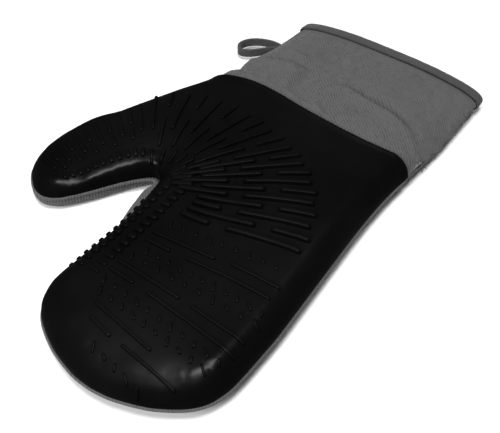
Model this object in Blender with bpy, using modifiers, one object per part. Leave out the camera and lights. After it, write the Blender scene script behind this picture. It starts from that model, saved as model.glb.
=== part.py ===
"""A heat resistant cooking mitt for the right hand, lying on its back with the palm up.

A moulded silicone palm with a sewn fabric back, wadding and lining inside, a fabric cuff with a
bound mouth, and a hanging loop in the thumb side seam. +Z is up, +Y runs from the finger tips
to the mouth, and the origin is on the floor under the middle of the palm.

The mitt is a pillow over one seam outline. The palm side is a crowned surface above the seam,
the back a shallow tray below it, and every layer lies at its own depth under one of the two.
Soft layers that run through a fold are divided there, so that each body is rigid.
"""

import math

import bmesh
import bpy
import numpy as np
from mathutils import Matrix, Vector
from mathutils.geometry import delaunay_2d_cdt

MM = 0.001

# ---- driving dimensions, in millimetres ----
WRIST_Y = 80.0           # where the silicone ends and the cuff starts
MOUTH_Y = 188.0          # the cuff's raw edge, inside the binding
TIP_Y = -180.0           # the finger tips
PALM_CROWN_Y = -10.0     # where the crown is highest
FINGER_FOLD_Y = -70.0    # the line that the finger pouch folds on
CROTCH = (-66.0, -34.0)  # where the thumb and the finger pouch part
THUMB_ROOT = (-134.0, 2.0)  # the outer end of the thumb's fold line
SEAM_Z = 10.0            # height of the seam that joins the palm side to the back
PALM_TOP = 33.0          # height of the crown over the palm
FINGER_TOP = 30.0
WRIST_TOP = 29.0
MOUTH_TOP = 19.5
BODY_ROLL = 34.0         # width of the rounded shoulder inside the seam
MOUTH_ROLL = 70.0        # the same at the mouth, where the section is a lens
BACK_ROLL = 10.0         # width of the back's rounded edge, outside its flat floor
LIFT_Y = 120.0           # from here the back rises off the floor, to leave room for the binding
LIFT_SLOPE = 0.05

SILICONE = 1.6           # thicknesses
FABRIC = 1.0
WADDING = 3.0
LINING = 0.8
THREAD = 0.9
GAP = 0.4                # between one layer and the next
CUFF_STEP = 0.5          # how far the cuff's fabric lies below the silicone's surface
FOLD_GAP = 1.0           # between two bodies at a fold
SEAM_GAP = 1.5           # between the palm side and the back, where the seam thread runs
SEAM_THREAD_INSET = 1.2  # the seam thread runs just inside the seam

PALM_AXIS_Z = 34.0       # the folds turn on the palm side's surface, so the back opens
WRIST_AXIS_Z = 31.0

BINDING_WIDTH = 9.0
BINDING_THICKNESS = 0.9
BINDING_DEPTH = 3.7      # from the cuff's surface to the binding's inner leg
BINDING_SIDE = 12.0      # from the side seams to the inner leg, across the flattened corners
BINDING_STITCH_INSET = 7.0   # from the binding's outer edge
BINDING_STATIONS = 48
LOOP_TAPE_WIDTH = 10.0
LOOP_TAPE_THICKNESS = 1.2
LOOP_LOW_Z = 1.0         # the tape stands on its edge, just above the floor
LOOP_AXIS_X = -86.0      # the cuff's side seam, where both ends of the tape are sewn in
# The tape from one end to the other, in plan: a teardrop that leans towards the thumb.
LOOP_POINTS = (
    (-86.4, 153), (-93, 153.3), (-102, 150.8), (-110, 146), (-115, 139), (-115.5, 132),
    (-111.5, 128), (-106, 129), (-100, 134.5), (-93.5, 142.5), (-86.8, 149.5),
)

# The seam from the mouth's thumb side, round the thumb and the finger tips, to the mouth again.
SEAM_POINTS = (
    (-81, 205), (-83, 165), (-89, 120), (-98, 82), (-113, 45), (-132, -5), (-144.5, -48),
    (-145, -70), (-134, -88), (-115, -93), (-99, -78), (-84, -53), (-71, -36), (-63, -35),
    (-58, -50), (-54, -85), (-53, -132), (-49, -155), (-33, -169), (-10, -177), (14, -180),
    (40, -176), (64, -165), (79, -147), (84, -115), (84, -60), (81, 10), (81, 85), (83, 150),
    (81, 205),
)
POINTS_PER_SPAN = 2      # pieces that the seam's curve has between two of those
ROWS = ((3.0, 7.0), (9.0, 10.0), (18.0, 14.0))  # inset of each row, and its points' spacing
MOUTH_POINTS = 6         # points across the middle of the mouth line
GRID = 22.0              # spacing of the points on the crown
SKIRT = 5.0              # how far a surface runs past the seam, to be trimmed flat there
ROW_SHARE = 0.95         # a point nearer the seam than this share of its row's inset is dropped
GRID_CLEAR = 7.3         # room between the last row and the grid
MOUTH_EDGE = 0.1         # the mouth line's own edge isn't part of the rim that gets a skirt
THUMB_GAP_X = -75.0      # a line in the gap between the thumb and the fingers
PAST_CROTCH = 2.0        # how far the thumb's zone runs past the crotch, along its fold
ZONE_MARGIN = 1.0        # how much a zone that is cut away is larger than the one it clears
REACH = 250.0            # half size of a cutter where nothing bounds it

COLOURS = {              # colour, roughness
    "silicone": ((0.010, 0.010, 0.010), 0.45),
    "twill": ((0.105, 0.105, 0.105), 0.90),
    "wadding": ((0.60, 0.58, 0.54), 1.0),
    "lining": ((0.16, 0.16, 0.16), 0.95),
    "thread": ((0.030, 0.030, 0.030), 0.80),
}


# ---- scene, materials and helpers ----

def clear_scene():
    for obj in list(bpy.data.objects):
        bpy.data.objects.remove(obj, do_unlink=True)


def make_collection(name):
    collection = bpy.data.collections.new(name)
    bpy.context.scene.collection.children.link(collection)
    return collection


def make_material(name):
    colour, roughness = COLOURS[name]
    material = bpy.data.materials.new(name)
    material.use_nodes = True
    shader = material.node_tree.nodes["Principled BSDF"]
    shader.inputs["Base Color"].default_value = (*colour, 1.0)
    shader.inputs["Roughness"].default_value = roughness
    shader.inputs["Metallic"].default_value = 0.0
    return material


def add_empty(name, location, parent=None):
    """A joint's frame: an empty on the joint's axis, at a place given in millimetres."""
    empty = bpy.data.objects.new(name, None)
    bpy.context.scene.collection.objects.link(empty)
    empty.location = Vector(location) * MM
    if parent:
        bpy.context.view_layer.update()
        empty.parent = parent
        empty.matrix_parent_inverse = parent.matrix_world.inverted()
    bpy.context.view_layer.update()
    return empty


def add_part(name, mesh, material, body):
    """A part whose mesh is in world metres, carried by its body's empty."""
    obj = bpy.data.objects.new(name, mesh)
    PARTS.objects.link(obj)
    mesh.materials.clear()
    mesh.materials.append(MATERIALS[material])
    if body:
        obj.parent = body
        obj.matrix_parent_inverse = body.matrix_world.inverted()
    return obj


def mesh_from_curve(curve):
    """The curve's evaluated shape as a mesh, with its caps welded on."""
    source = bpy.data.objects.new("source", curve)
    bpy.context.scene.collection.objects.link(source)
    graph = bpy.context.evaluated_depsgraph_get()
    mesh = bpy.data.meshes.new_from_object(source.evaluated_get(graph))
    bpy.data.objects.remove(source, do_unlink=True)
    bm = bmesh.new()
    bm.from_mesh(mesh)
    bmesh.ops.remove_doubles(bm, verts=bm.verts, dist=0.01 * MM)
    bm.to_mesh(mesh)
    bm.free()
    return mesh


def make_thread(points, closed=False):
    """A sewing thread through points given in millimetres."""
    curve = bpy.data.curves.new("thread", "CURVE")
    curve.dimensions = "3D"
    curve.bevel_depth = THREAD / 2 * MM
    curve.bevel_resolution = 0
    curve.use_fill_caps = True
    spline = curve.splines.new("POLY")
    spline.points.add(len(points) - 1)
    spline.use_cyclic_u = closed
    for point, place in zip(spline.points, points):
        point.co = (*(Vector(place) * MM), 1.0)
    return mesh_from_curve(curve)


# ---- zones: the box that holds each body's share of a layer ----

def make_zone(name, low, high, turn=None):
    """A cutter from low to high, in millimetres, in the frame that turn gives."""
    bm = bmesh.new()
    bmesh.ops.create_cube(bm, size=1.0)
    low = Vector(low)
    high = Vector(high)
    bmesh.ops.scale(bm, vec=(high - low) * MM, verts=bm.verts)
    bmesh.ops.translate(bm, vec=(high + low) / 2 * MM, verts=bm.verts)
    mesh = bpy.data.meshes.new(name)
    bm.to_mesh(mesh)
    bm.free()
    obj = bpy.data.objects.new(name, mesh)
    CUTTERS.objects.link(obj)
    if turn:
        obj.matrix_world = turn
    obj.hide_render = True
    obj.display_type = "WIRE"
    return obj


def thumb_frame():
    """The thumb fold's frame: +X along the fold from the crotch, and -Y towards the tip."""
    along = Vector(THUMB_ROOT) - Vector(CROTCH)
    turn = Matrix.Rotation(math.atan2(-along.y, -along.x), 4, "Z")
    return Matrix.Translation(Vector((*CROTCH, 0)) * MM) @ turn


def make_zones(side, low_z, high_z):
    """Each body's zone on one side of the mitt."""
    half = FOLD_GAP / 2
    fold = FINGER_FOLD_Y
    thumb = thumb_frame()
    return {
        "fingers": make_zone(
            "zone_fingers_" + side, (THUMB_GAP_X, -REACH, low_z), (REACH, fold - half, high_z)
        ),
        "thumb": make_zone(
            "zone_thumb_" + side, (-REACH, -REACH, low_z), (PAST_CROTCH, -half, high_z), thumb
        ),
        "not_thumb": make_zone(
            "zone_not_thumb_" + side, (-REACH, -REACH, low_z - ZONE_MARGIN),
            (PAST_CROTCH + ZONE_MARGIN, half, high_z + ZONE_MARGIN), thumb
        ),
        "palm": make_zone(
            "zone_palm_" + side, (-REACH, fold + half, low_z), (REACH, WRIST_Y - half, high_z)
        ),
        "cuff": make_zone(
            "zone_cuff_" + side, (-REACH, WRIST_Y + half, low_z), (REACH, MOUTH_Y, high_z)
        ),
    }


def cut_to_zone(obj, zones, zone):
    """Keep the part of an object that lies in its body's zone."""
    keep = obj.modifiers.new("zone", "BOOLEAN")
    keep.operation = "INTERSECT"
    keep.object = zones[zone]
    if zone == "palm":
        cut = obj.modifiers.new("thumb", "BOOLEAN")
        cut.operation = "DIFFERENCE"
        cut.object = zones["not_thumb"]


# ---- the seam outline and the two surfaces over it ----

def seam_line():
    """The seam as an array of points, from a Bezier curve through SEAM_POINTS."""
    curve = bpy.data.curves.new("seam", "CURVE")
    curve.resolution_u = POINTS_PER_SPAN
    spline = curve.splines.new("BEZIER")
    spline.bezier_points.add(len(SEAM_POINTS) - 1)
    for point, (x, y) in zip(spline.bezier_points, SEAM_POINTS):
        point.co = (x, y, 0)
        point.handle_left_type = "AUTO"
        point.handle_right_type = "AUTO"
    mesh = mesh_from_curve(curve)
    return np.array([v.co[:2] for v in mesh.vertices])


def inward_normals(line):
    """Unit normals of the seam, pointing into the mitt, which is on the seam's left."""
    along = np.gradient(line, axis=0)
    along /= np.linalg.norm(along, axis=1)[:, None]
    return np.stack([-along[:, 1], along[:, 0]], axis=1)


def seam_distance(points, line):
    """How far each point is from the seam."""
    start = line[:-1]
    along = line[1:] - start
    reach = points[:, None, :] - start[None]
    t = np.clip((reach * along).sum(2) / (along * along).sum(1), 0, 1)
    return np.linalg.norm(reach - t[..., None] * along, axis=2).min(axis=1)


def inside_seam(points, line):
    """Whether each point is inside the seam, closed straight across the mouth."""
    x, y = points[:, 0][:, None], points[:, 1][:, None]
    start_x, start_y = line.T
    end_x, end_y = np.roll(line, -1, axis=0).T
    crosses = (start_y > y) != (end_y > y)
    rise = np.where(end_y == start_y, 1.0, end_y - start_y)
    crossing_x = start_x + (y - start_y) / rise * (end_x - start_x)
    return (crosses & (x < crossing_x)).sum(1) % 2 == 1


def shoulder(t):
    """A quarter circle: 0 at the seam, 1 where the shoulder meets the crown."""
    return np.sqrt(1 - (1 - np.clip(t, 0, 1)) ** 2)


def palm_height(y, inset):
    """Height of the palm side's outer surface."""
    stations = (TIP_Y, FINGER_FOLD_Y, PALM_CROWN_Y, WRIST_Y, MOUTH_Y)
    top = np.interp(y, stations, (FINGER_TOP, FINGER_TOP, PALM_TOP, WRIST_TOP, MOUTH_TOP))
    roll = np.interp(y, (WRIST_Y, MOUTH_Y), (BODY_ROLL, MOUTH_ROLL))
    return SEAM_Z + (top - SEAM_Z) * shoulder(inset / roll)


def back_height(y, inset):
    """Height of the back's outer surface: flat on the floor inside BACK_ROLL."""
    floor = np.maximum(y - LIFT_Y, 0) * LIFT_SLOPE
    return SEAM_Z - (SEAM_Z - floor) * shoulder(inset / BACK_ROLL)


def thin_out(points, spacing):
    """Those of the points that are at least spacing from every one before them."""
    chosen = points[:1]
    for point in points[1:]:
        if np.linalg.norm(chosen - point, axis=1).min() >= spacing:
            chosen = np.concatenate([chosen, [point]])
    return chosen


def plan_points(line):
    """Points of the plan: the seam and the mouth line, rows that follow the seam, and a grid."""
    normals = inward_normals(line)
    mouth_y = line[0, 1]
    left = line[0, 0]
    right = line[-1, 0]
    insets = np.array([inset for inset, _ in ROWS])
    middle = np.linspace(right - insets[-1], left + insets[-1], MOUTH_POINTS)
    mouth_x = np.concatenate([right - insets[:-1], middle, left + insets[-2::-1]])
    border = np.concatenate([line, [(x, mouth_y) for x in mouth_x]])
    groups = [border]
    for inset, spacing in ROWS:
        row = line + normals * inset
        row = row[inside_seam(row, line) & (seam_distance(row, line) > inset * ROW_SHARE)]
        row = row[row[:, 1] < mouth_y - spacing / 2]
        groups.append(thin_out(row, spacing))
    xs = np.arange(line[:, 0].min(), line[:, 0].max(), GRID)
    ys = np.arange(line[:, 1].min(), mouth_y - GRID / 2, GRID * math.sqrt(3) / 2)
    grid = np.array([(x + GRID / 2 * (j % 2), y) for j, y in enumerate(ys) for x in xs])
    clear = ROWS[-1][0] + GRID_CLEAR
    groups.append(grid[inside_seam(grid, line) & (seam_distance(grid, line) > clear)])
    return np.concatenate(groups), len(border)


def make_surface(name, line, height, skirt_z):
    """An outer surface as an open mesh, with a skirt that runs to skirt_z past the seam."""
    points, border_count = plan_points(line)
    border = list(range(border_count))
    edges = [(i, (i + 1) % border_count) for i in border]
    verts, _, faces, _, _, _ = delaunay_2d_cdt(
        [Vector(p) for p in points], edges, [border], 1, 1e-4
    )
    plan = np.array([v[:] for v in verts])
    heights = height(plan[:, 1], seam_distance(plan, line))
    bm = bmesh.new()
    made = [bm.verts.new((x * MM, y * MM, z * MM)) for (x, y), z in zip(plan, heights)]
    for face in faces:
        bm.faces.new([made[i] for i in face])
    mouth_y = (line[0, 1] - MOUTH_EDGE) * MM
    rim = [e for e in bm.edges if e.is_boundary and min(v.co.y for v in e.verts) < mouth_y]
    skirt = bmesh.ops.extrude_edge_only(bm, edges=rim)
    for vert in skirt["geom"]:
        if isinstance(vert, bmesh.types.BMVert):
            vert.co.z = skirt_z * MM
    bmesh.ops.recalc_face_normals(bm, faces=bm.faces)
    crown = max(bm.faces, key=lambda f: f.calc_area())
    if (crown.normal.z > 0) != (skirt_z < SEAM_Z):
        bmesh.ops.reverse_faces(bm, faces=bm.faces)
    mesh = bpy.data.meshes.new(name)
    bm.to_mesh(mesh)
    bm.free()
    return mesh


# ---- layers ----

def add_layer(name, surface, depth, thickness, material, body, zones, zone):
    """A layer of the mitt: a solid between two depths under an outer surface."""
    mesh = surface.copy()
    normals = [v.normal.copy() for v in surface.vertices]
    for vertex, normal in zip(mesh.vertices, normals):
        vertex.co -= normal * depth * MM
    obj = add_part(name, mesh, material, body)
    solid = obj.modifiers.new("thickness", "SOLIDIFY")
    solid.thickness = thickness * MM
    solid.offset = -1.0
    cut_to_zone(obj, zones, zone)
    return obj


def add_pouch_layers(zone, body, palm_surface, back_surface, palm_zones, back_zones):
    """The six layers of the fingers, the thumb or the palm, from the palm side to the back."""
    wadding = SILICONE + GAP
    lining = wadding + WADDING + GAP
    back_wadding = FABRIC + GAP
    back_lining = back_wadding + WADDING + GAP
    palm_layers = (
        ("silicone_", 0.0, SILICONE, "silicone"),
        ("palm_wadding_", wadding, WADDING, "wadding"),
        ("palm_lining_", lining, LINING, "lining"),
    )
    back_layers = (
        ("back_lining_", back_lining, LINING, "lining"),
        ("back_wadding_", back_wadding, WADDING, "wadding"),
        ("back_panel_", 0.0, FABRIC, "twill"),
    )
    for name, depth, thickness, material in palm_layers:
        add_layer(name + zone, palm_surface, depth, thickness, material, body, palm_zones, zone)
    for name, depth, thickness, material in back_layers:
        add_layer(name + zone, back_surface, depth, thickness, material, body, back_zones, zone)


def add_cuff_layers(body, palm_surface, back_surface, palm_zones, back_zones):
    """The cuff's fabric and lining, which have no wadding between them."""
    palm_lining = CUFF_STEP + FABRIC + GAP
    back_lining = FABRIC + GAP
    add_layer("cuff_palm_panel", palm_surface, CUFF_STEP, FABRIC, "twill", body, palm_zones, "cuff")
    add_layer("cuff_palm_lining", palm_surface, palm_lining, LINING, "lining", body,
              palm_zones, "cuff")
    add_layer("cuff_back_panel", back_surface, 0.0, FABRIC, "twill", body, back_zones, "cuff")
    add_layer("cuff_back_lining", back_surface, back_lining, LINING, "lining", body,
              back_zones, "cuff")


# ---- threads, binding and loop ----

def add_seam_threads(line, bodies):
    """The thread of the side seam, one length for each stretch between two folds."""
    inset_line = line + inward_normals(line) * SEAM_THREAD_INSET
    path = [(x, y, SEAM_Z) for x, y in inset_line]
    low = SEAM_Z - REACH
    high = SEAM_Z + REACH
    zones = make_zones("thread", low, high)
    end_y = MOUTH_Y - BINDING_WIDTH - 1
    split_y = (CROTCH[1] + THUMB_ROOT[1]) / 2    # between the crotch and the thumb's outer side
    zones["thumb_side"] = make_zone("zone_thumb_side", (-REACH, split_y, low), (0, end_y, high))
    zones["little_side"] = make_zone("zone_little_side", (0, -REACH, low), (REACH, end_y, high))
    zones["crotch"] = make_zone("zone_crotch", (-REACH, -REACH, low), (0, split_y, high))
    stretches = (
        ("seam_thread_fingers", "fingers", None),
        ("seam_thread_thumb", "thumb", None),
        ("seam_thread_crotch", "palm", "crotch"),
        ("seam_thread_palm_thumb_side", "palm", "thumb_side"),
        ("seam_thread_palm_little_side", "palm", "little_side"),
        ("seam_thread_cuff_thumb_side", "cuff", "thumb_side"),
        ("seam_thread_cuff_little_side", "cuff", "little_side"),
    )
    for name, body, side in stretches:
        obj = add_part(name, make_thread(path), "thread", bodies[body])
        cut_to_zone(obj, zones, body)
        if side:
            half = obj.modifiers.new("side", "BOOLEAN")
            half.operation = "INTERSECT"
            half.object = zones[side]


def mouth_section(line, y, side, depth):
    """Points round the mitt's section at y, side inside its seams and depth under its surface."""
    half_line = len(line) // 2
    left = np.interp(y, line[:half_line, 1][::-1], line[:half_line, 0][::-1])
    right = np.interp(y, line[half_line:, 1], line[half_line:, 0])
    angles = np.arange(BINDING_STATIONS) * 2 * math.pi / BINDING_STATIONS
    x = (left + right) / 2 + ((right - left) / 2 - side) * np.cos(angles)
    inset = np.minimum(x - left, right - x)
    on_palm_side = np.sin(angles) > 0
    z = np.where(on_palm_side, palm_height(y, inset) - depth, back_height(y, inset) + depth)
    return np.stack([x, z], axis=1)


def grown_section(line, y, offset):
    """Points round the mitt's section at y, moved out of its surface by offset."""
    section = mouth_section(line, y, 0, 0)
    along = np.roll(section, -1, axis=0) - np.roll(section, 1, axis=0)
    along /= np.linalg.norm(along, axis=1)[:, None]
    outward = np.stack([along[:, 1], -along[:, 0]], axis=1)
    return section + outward * offset


def add_binding(line, body):
    """The tape folded over the mouth's raw edge, and the line of stitches that holds it."""
    inner_y = MOUTH_Y + GAP - BINDING_WIDTH + BINDING_THICKNESS
    outer_y = MOUTH_Y + GAP
    profile = (
        (inner_y, grown_section(line, inner_y, GAP)),
        (outer_y, grown_section(line, outer_y, GAP)),
        (outer_y, mouth_section(line, outer_y, BINDING_SIDE, BINDING_DEPTH)),
        (inner_y, mouth_section(line, inner_y, BINDING_SIDE, BINDING_DEPTH)),
    )
    bm = bmesh.new()
    rings = [
        [bm.verts.new((x * MM, y * MM, z * MM)) for x, z in section] for y, section in profile
    ]
    for ring, following in zip(rings, rings[1:]):
        for i in range(BINDING_STATIONS):
            j = (i + 1) % BINDING_STATIONS
            bm.faces.new((ring[i], following[i], following[j], ring[j]))
    mesh = bpy.data.meshes.new("cuff_binding")
    bm.to_mesh(mesh)
    bm.free()
    binding = add_part("cuff_binding", mesh, "twill", body)
    solid = binding.modifiers.new("thickness", "SOLIDIFY")
    solid.thickness = BINDING_THICKNESS * MM
    solid.offset = 1.0
    stitch_y = MOUTH_Y + GAP + BINDING_THICKNESS - BINDING_STITCH_INSET
    clear = GAP + BINDING_THICKNESS + GAP + THREAD / 2
    path = [(x, stitch_y, z) for x, z in grown_section(line, stitch_y, clear)]
    add_part("binding_stitch", make_thread(path, closed=True), "thread", body)


def add_hanging_loop(body):
    """A tape that stands on its edge and leaves the cuff's side seam in a teardrop."""
    curve = bpy.data.curves.new("loop", "CURVE")
    curve.dimensions = "2D"
    curve.fill_mode = "NONE"
    curve.resolution_u = 3
    curve.extrude = LOOP_TAPE_WIDTH / 2 * MM
    spline = curve.splines.new("BEZIER")
    spline.bezier_points.add(len(LOOP_POINTS) - 1)
    for point, (x, y) in zip(spline.bezier_points, LOOP_POINTS):
        point.co = (x * MM, y * MM, 0)
        point.handle_left_type = "AUTO"
        point.handle_right_type = "AUTO"
    mesh = mesh_from_curve(curve)
    mesh.transform(Matrix.Translation((0, 0, (LOOP_LOW_Z + LOOP_TAPE_WIDTH / 2) * MM)))
    loop = add_part("hanging_loop", mesh, "twill", body)
    solid = loop.modifiers.new("thickness", "SOLIDIFY")
    solid.thickness = LOOP_TAPE_THICKNESS * MM
    solid.offset = 0.0


def main():
    line = seam_line()
    palm_surface = make_surface("palm_surface", line, palm_height, SEAM_Z - SKIRT)
    back_surface = make_surface("back_surface", line, back_height, SEAM_Z + SKIRT)
    palm_zones = make_zones("palm_side", SEAM_Z + SEAM_GAP / 2, REACH)
    back_zones = make_zones("back_side", -REACH, SEAM_Z - SEAM_GAP / 2)
    thumb_middle = (Vector(CROTCH) + Vector(THUMB_ROOT)) / 2
    cuff = add_empty("wrist_fold", (0, WRIST_Y, WRIST_AXIS_Z))
    loop_y = (LOOP_POINTS[0][1] + LOOP_POINTS[-1][1]) / 2
    bodies = {
        "palm": None,
        "fingers": add_empty("finger_fold", (0, FINGER_FOLD_Y, PALM_AXIS_Z)),
        "thumb": add_empty("thumb_fold", (*thumb_middle, PALM_AXIS_Z)),
        "cuff": cuff,
        "loop": add_empty(
            "loop_swing", (LOOP_AXIS_X, loop_y, LOOP_LOW_Z + LOOP_TAPE_WIDTH), cuff
        ),
    }
    surfaces = (palm_surface, back_surface, palm_zones, back_zones)
    for zone in ("palm", "fingers", "thumb"):
        add_pouch_layers(zone, bodies[zone], *surfaces)
    add_cuff_layers(bodies["cuff"], *surfaces)
    add_seam_threads(line, bodies)
    add_binding(line, bodies["cuff"])
    add_hanging_loop(bodies["loop"])


clear_scene()
PARTS = make_collection("heat_resistant_mitt")
CUTTERS = make_collection("cutters")
MATERIALS = {name: make_material(name) for name in COLOURS}
main()
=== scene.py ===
"""The looks of a heat resistant cooking mitt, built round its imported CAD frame.

The mitt lies on its back with the palm up: +Z is up and +Y runs from the finger tips to the
mouth. A moulded black silicone palm with raised ribs is sewn to a grey twill back, and a twill
cuff with a bound mouth runs out from under it. Lengths are in millimetres until a mesh is made.
"""

import math
import random

import bpy
import numpy as np
from mathutils import Euler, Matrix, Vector, noise
from mathutils.bvhtree import BVHTree
from mathutils.geometry import delaunay_2d_cdt
from mathutils.kdtree import KDTree
from numpy.linalg import norm


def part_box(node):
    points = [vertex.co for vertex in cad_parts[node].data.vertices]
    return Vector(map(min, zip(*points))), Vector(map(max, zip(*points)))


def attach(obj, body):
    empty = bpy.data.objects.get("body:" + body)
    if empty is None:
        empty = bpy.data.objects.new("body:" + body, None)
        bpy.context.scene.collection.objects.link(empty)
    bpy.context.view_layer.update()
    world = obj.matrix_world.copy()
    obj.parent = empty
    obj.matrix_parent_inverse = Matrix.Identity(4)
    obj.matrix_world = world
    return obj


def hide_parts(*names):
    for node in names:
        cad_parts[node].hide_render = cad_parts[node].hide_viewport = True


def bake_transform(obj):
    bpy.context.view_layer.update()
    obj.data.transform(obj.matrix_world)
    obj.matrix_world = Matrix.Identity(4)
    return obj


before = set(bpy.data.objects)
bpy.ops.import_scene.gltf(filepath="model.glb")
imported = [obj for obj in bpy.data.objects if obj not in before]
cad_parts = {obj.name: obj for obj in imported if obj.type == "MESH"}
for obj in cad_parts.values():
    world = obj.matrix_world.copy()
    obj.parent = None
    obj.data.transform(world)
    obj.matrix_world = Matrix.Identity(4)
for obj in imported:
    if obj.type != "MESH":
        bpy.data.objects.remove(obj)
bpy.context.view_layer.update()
scene = bpy.context.scene

MM = 0.001
UP = np.array([0.0, 0.0, 1.0])

# ---- the body: places and heights like the CAD's, some eased towards the photograph ----
SEAM_Z = 10.0
WRIST_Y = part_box("silicone_palm")[1].y / MM
MOUTH_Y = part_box("cuff_palm_panel")[1].y / MM
PALM_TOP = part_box("silicone_palm")[1].z / MM
FINGER_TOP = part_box("silicone_fingers")[1].z / MM
# The palm's top height at places along Y, and the width of its rolled edge.
TOPS = {-180.0: 27.5, -145.0: FINGER_TOP, -70.0: FINGER_TOP, -10.0: PALM_TOP, WRIST_Y: 29.0,
        MOUTH_Y: 20.8}
ROLLS = {-150.0: 10.5, -100.0: 25.0, WRIST_Y: 25.0, MOUTH_Y: 70.0}
SIDE_ROLL = 14.0         # along the fingers' and the hand's outer side
BACK_ROLL = 10.0
BACK_SLOPE = 12.0        # width of the back's sloping edge, round the hand
LIFT_Y = 120.0           # from here the cuff's back rises off the floor
LIFT_SLOPE = 0.05
CROTCH = np.array([-66.0, -34.0])
THUMB_ROOT = np.array([-134.0, 2.0])
FOLD_LINE = (THUMB_ROOT - CROTCH) / norm(THUMB_ROOT - CROTCH)
THUMB_HEADING = np.array([-FOLD_LINE[1], FOLD_LINE[0]])
SEAM_POINTS = (
    (-81, 205), (-84, 165), (-89.5, 120), (-95.5, 82), (-111.5, 45), (-130, -5),
    (-145.5, -44), (-145.5, -70), (-132.5, -87), (-115, -92), (-99, -77), (-84, -52),
    (-70, -33), (-62, -30), (-56.5, -46), (-52.5, -85), (-53, -132), (-48, -156),
    (-31, -168.5), (-10, -176), (14, -178.5), (40, -172), (60, -161.5), (76, -145.5),
    (80.5, -118), (79.5, -60), (76, 8), (76, 50), (78, 72), (80, 92), (81.5, 125),
    (82.5, 165), (81, 205),
)
LOOP_POINTS = (
    (-86.4, 153), (-93, 153.3), (-102, 150.8), (-110, 146), (-115, 139), (-115.5, 132),
    (-111.5, 128), (-106, 129), (-100, 134.5), (-93.5, 142.5), (-86.8, 149.5),
)
# The silicone's rim over the cuff, in plan.
RIM_POINTS = (
    (-110, 73), (-90, 74.5), (-76, 77.5), (-59, 81.5), (-40, 80.5), (-17, 77), (15, 74),
    (45, 73.5), (63, 75), (76, 77), (84, 77), (94, 72),
)
# The crest of the thumb's inner side, above its steep wall, with its height at even shares.
RIDGE_POINTS = (
    (-111, -84.5), (-104, -76), (-96, -64), (-90, -50), (-84.5, -39.5), (-77, -31.5),
    (-68, -28.3), (-60, -28), (-53, -32),
)
RIDGE_TOPS = (13.8, 16.8, 19.8, 21.3, 22.1, 22.8, 23.5, 23.8, 23.3)

# ---- thicknesses and the spacing of the points ----
SILICONE = 1.6
FABRIC = 1.0
LINING = 0.8
TUCK = 12.0              # how far the cuff's fabric runs in under the rim
SEAM_STEP = 2.2          # spacing of the points along the seam
SEAM_ROWS = (0.35, 1.0, 2.0, 3.4, 5.2, 7.6, 10.4)
POUCH_ROW = 5.2          # the row that the pouch's lining starts from
RIM_ROWS = (0.4, 1.0, 1.7, 2.6, 3.6, 5.0, 7.0)
RIM_BEAD = (-0.5, 0.35, 0.9, 1.15, 1.1, 0.75, 0.3, 0.0)   # its height at the rim and the rows
ROW_CLEAR = 0.7          # the share of its spacing that a row keeps from the rows before it
GRID_CLEAR = 0.72        # and the share of its own that the lattice keeps from them
BODY_GRID = 2.3
CUFF_GRID = 1.9

# ---- the fabric's pieces ----
THUMB_SWELL = 1.7        # of the back's fabric below the thumb's seam
ROLL = 1.2               # radius of the rolled seam
STRIP = 5.8              # how much wider it is on the fingers' side of the crotch
CLOTH = {"quality": 5, "mass": 0.3, "tension_stiffness": 20, "compression_stiffness": 20,
         "shear_stiffness": 8, "bending_stiffness": 6, "shrink_min": -0.03,
         "use_pressure": True, "uniform_pressure_force": 0.2, "vertex_group_mass": "held"}
CLOTH_FRAMES = 20
CLOTH_REACH = 3.0        # the furthest that the simulation may move a point
TAPE = 0.85
STITCHES_BELOW = 6.2     # from the mouth's edge to the stitches of its binding
STATIONS = 220           # points round the binding
# The binding's profile from its lower edge, over the mouth and in again: y from the mouth's
# edge, distance out from the fabric, and share of the way to the inner leg.
BINDING_PROFILE = (
    (-8.4, 0.55, 0), (-8.0, 1.15, 0), (-6.8, 1.3, 0), (-4.5, 1.45, 0), (-2.2, 1.5, 0),
    (-0.6, 1.35, 0), (0.5, 0.95, 0.05), (1.1, 0.3, 0.3), (1.15, 0.0, 0.6), (0.7, 0.0, 0.88),
    (-0.6, 0.0, 1), (-4.5, 0.0, 1), (-8.0, 0.0, 1),
)
BAND_SPACING = 0.314     # between the bands of a wave texture at scale 1

# ---- the camera, in metres and radians ----
CAMERA_TARGET = Vector((0.004384, -0.012811, 0))
CAMERA_DISTANCE = 0.523564
CAMERA_ELEVATION = math.radians(48.5)
CAMERA_AZIMUTH = math.radians(-53.3162)


# ---- plan geometry ----

def smooth_line(points, step, per_span=2):
    """A curve through the points as chords, two to a span like the CAD's unless it says so,
    with rounded corners and its points at an even step."""
    curve = bpy.data.curves.new("line", "CURVE")
    curve.resolution_u = per_span
    spline = curve.splines.new("BEZIER")
    spline.bezier_points.add(len(points) - 1)
    for point, (x, y) in zip(spline.bezier_points, points):
        point.co = (x, y, 0)
        point.handle_left_type = "AUTO"
        point.handle_right_type = "AUTO"
    source = add_object("line", curve)
    graph = bpy.context.evaluated_depsgraph_get()
    mesh = bpy.data.meshes.new_from_object(source.evaluated_get(graph))
    line = np.array([v.co[:2] for v in mesh.vertices])
    bpy.data.objects.remove(source, do_unlink=True)
    bpy.data.meshes.remove(mesh)
    line = resample(line, step)
    for _ in range(4):
        line[1:-1] = (line[:-2] + 2 * line[1:-1] + line[2:]) / 4
    return resample(line, step)


def lengths_along(line):
    """Each point's distance along the line from its start."""
    return np.concatenate([[0], np.cumsum(norm(np.diff(line, axis=0), axis=1))])


def at_lengths(line, lengths):
    """The points of a line at the given distances from its start."""
    return np.stack([np.interp(lengths, lengths_along(line), axis) for axis in line.T], axis=1)


def resample(line, step):
    """The same line with its points at an even step."""
    length = lengths_along(line)[-1]
    return at_lengths(line, np.linspace(0, length, max(2, int(round(length / step)) + 1)))


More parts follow.
